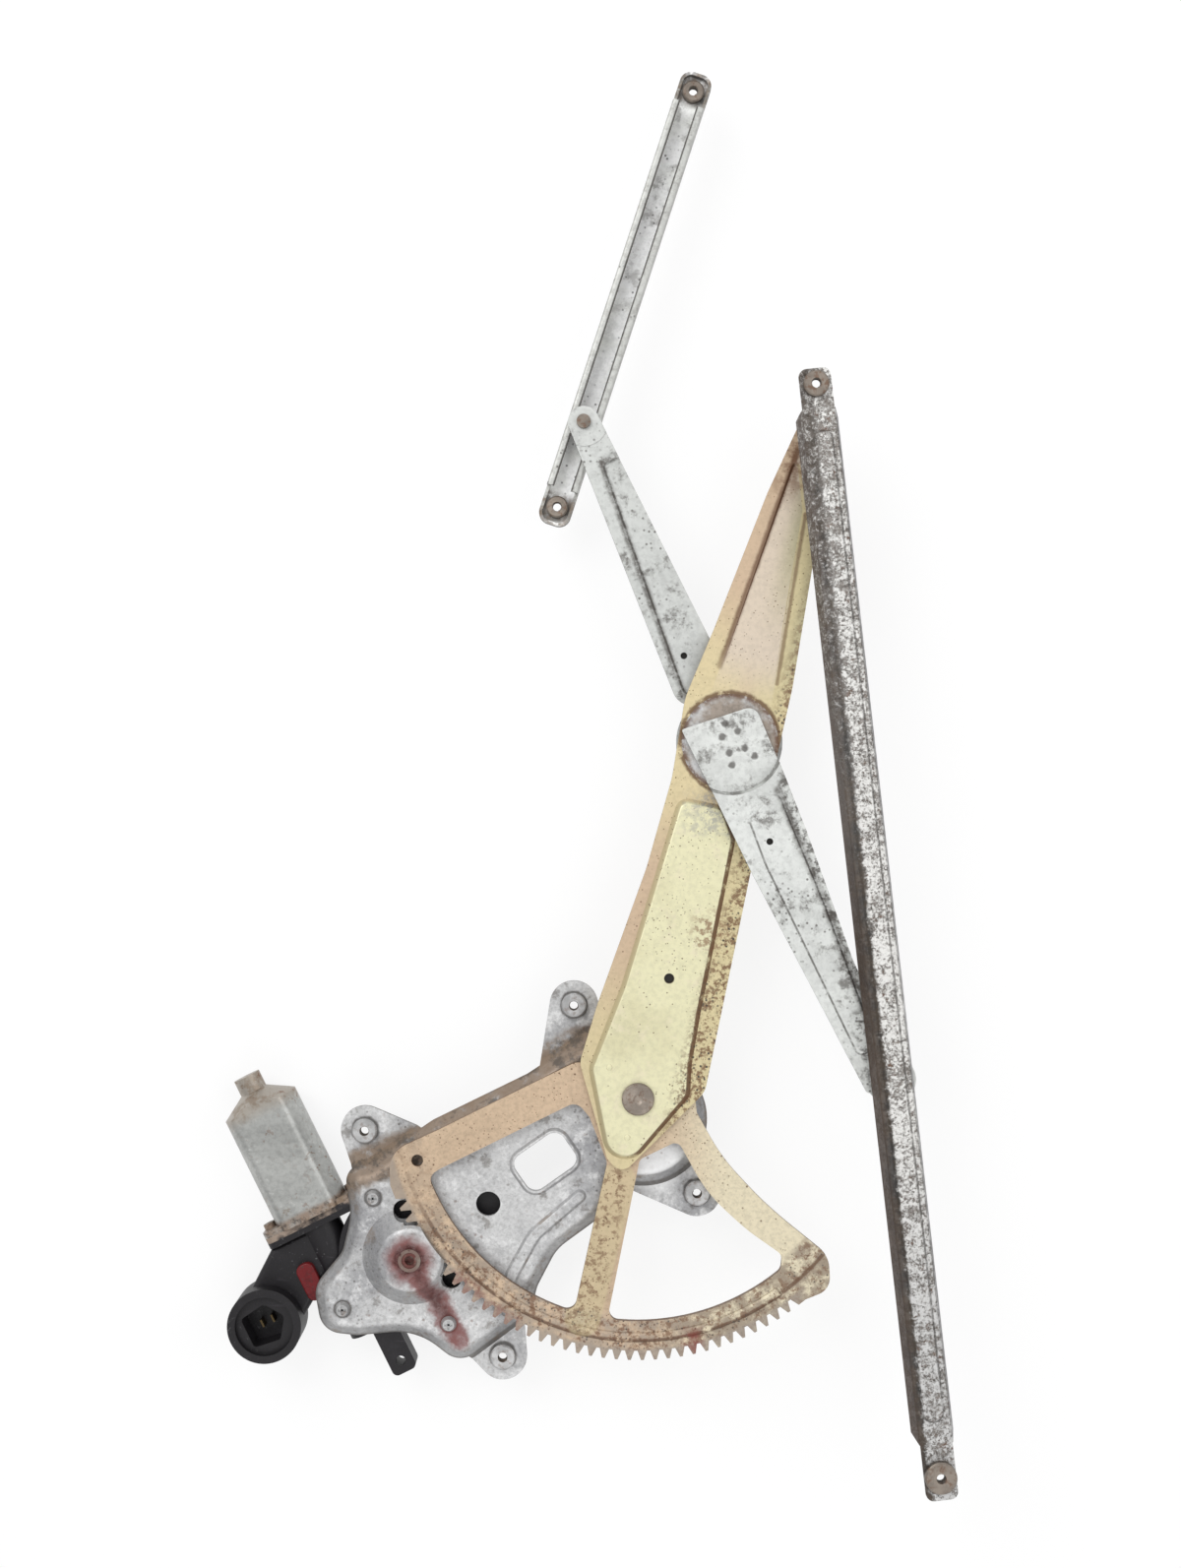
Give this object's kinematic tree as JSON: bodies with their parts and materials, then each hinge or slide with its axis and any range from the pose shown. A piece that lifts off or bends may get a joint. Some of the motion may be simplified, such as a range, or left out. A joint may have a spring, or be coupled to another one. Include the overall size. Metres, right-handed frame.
{
  "type": "window regulator",
  "caption": "Electric scissor window regulator: pressed base plate, geared motor, toothed sector with lift arm, equalizer arm, long lift rail and short guide channel.",
  "frame": {"origin": "axis of the upper mounting nut, on the back face of its ear", "axes": "lying flat: +Z towards the arm side, +Y along the length from the motor end to the guide channel, +X towards the lift rail"},
  "size_m": [0.3723, 0.7221, 0.0648],
  "materials": {
    "plate": "zinc plated, dull",
    "nut_steel": "plated, worn",
    "stud_steel": "plated",
    "sector_plating": "yellow chromate",
    "arm_plating": "yellow chromate",
    "equalizer_zinc": "galvanised",
    "hub_steel": "plated",
    "rail_zinc": "galvanised, speckled",
    "guide_zinc": "galvanised",
    "yoke_zinc": "zinc plated",
    "screw_steel": "plated",
    "housing_plastic": "moulded black",
    "brush_plate_plastic": "moulded brown",
    "lock_red": "moulded red",
    "terminal_brass": "bare",
    "gear_steel": "machined, greased",
    "wheel_plastic": "moulded natural",
    "core_steel": "laminated",
    "copper": "turned",
    "magnet": "ferrite",
    "carbon": "carbon",
    "bronze": "sintered bronze",
    "roller_plastic": "moulded natural, greased"
  },
  "bodies": {
    "base": {"base_plate": "plate", "mounting_nuts": "nut_steel", "pivot_stud": "stud_steel", "pivot_washer": "stud_steel", "pinion_bush": "bronze", "motor_screws": "screw_steel", "motor_yoke": "yoke_zinc", "rear_bearing": "bronze", "field_magnets": "magnet", "brush_plate": "brush_plate_plastic", "brushes": "carbon", "flange_screws": "screw_steel", "gear_housing": "housing_plastic", "gear_cover": "housing_plastic", "worm_bearings": "bronze", "connector_shell": "housing_plastic", "terminals": "terminal_brass", "lock_tab": "lock_red"},
    "armature": {"armature_shaft": "gear_steel", "armature_core": "core_steel", "commutator": "copper"},
    "pinion": {"drive_pinion": "gear_steel", "worm_wheel": "wheel_plastic"},
    "lift": {"sector_gear": "sector_plating", "lift_arm": "arm_plating", "lift_stud": "stud_steel"},
    "equalizer": {"equalizer_rear_half": "equalizer_zinc", "equalizer_front_half": "equalizer_zinc", "scissor_hub": "hub_steel", "equalizer_stud": "stud_steel", "guide_stud": "stud_steel"},
    "lift_roller": {"lift_roller": "roller_plastic"},
    "equalizer_roller": {"equalizer_roller": "roller_plastic"},
    "guide_roller": {"guide_roller": "roller_plastic"},
    "rail": {"lift_rail": "rail_zinc", "rail_nuts": "nut_steel"},
    "guide": {"guide_channel": "guide_zinc", "guide_nuts": "nut_steel"}
  },
  "joints": [
    {"name": "armature_spin", "type": "hinge", "parent": "base", "child": "armature", "pos_m": [-0.1358, -0.1097, -0.009], "axis": [0.4431, -0.8965, 0], "range_deg": [-73920, 5040]},
    {"name": "pinion_spin", "type": "hinge", "parent": "base", "child": "pinion", "pos_m": [-0.08309, -0.12721, 0], "axis": [0, 0, 1], "range_deg": [-84.13, 1232.13]},
    {"name": "sector_turn", "type": "hinge", "parent": "base", "child": "lift", "pos_m": [0.0326, -0.0453, 0.016], "axis": [0, 0, 1], "range_deg": [-88.01, 6.01]},
    {"name": "equalizer_turn", "type": "hinge", "parent": "lift", "child": "equalizer", "pos_m": [0.0793, 0.1351, 0.016], "axis": [0, 0, 1], "range_deg": [-85, 8]},
    {"name": "lift_roller_turn", "type": "hinge", "parent": "lift", "child": "lift_roller", "pos_m": [0.1228, 0.2903, 0.031], "axis": [0, 0, 1], "range_deg": [-45.91, 4.33]},
    {"name": "rail_slide", "type": "slide", "parent": "lift_roller", "child": "rail", "axis": [0.1132, -0.9936, 0], "range_m": [-0.145, 0.003]},
    {"name": "equalizer_roller_turn", "type": "hinge", "parent": "equalizer", "child": "equalizer_roller", "pos_m": [0.15984, -0.0348, 0.031], "axis": [0, 0, 1], "range_deg": [-3.68, 39.1]},
    {"name": "guide_roller_turn", "type": "hinge", "parent": "equalizer", "child": "guide_roller", "pos_m": [0.0051, 0.2984, 0.006], "axis": [0, 0, 1], "range_deg": [-35, 35]},
    {"name": "guide_slide", "type": "slide", "parent": "guide_roller", "child": "guide", "axis": [0.3115, 0.9502, 0], "range_m": [-0.15, 0.025]}
  ],
  "couplings": [
    {"joint": "pinion_spin", "follows": "armature_spin", "ratio": -0.016667},
    {"joint": "sector_turn", "follows": "armature_spin", "ratio": 0.0011905},
    {"joint": "lift_roller_turn", "follows": "equalizer_turn", "ratio": 0.54},
    {"joint": "equalizer_roller_turn", "follows": "equalizer_turn", "ratio": -0.46}
  ]
}
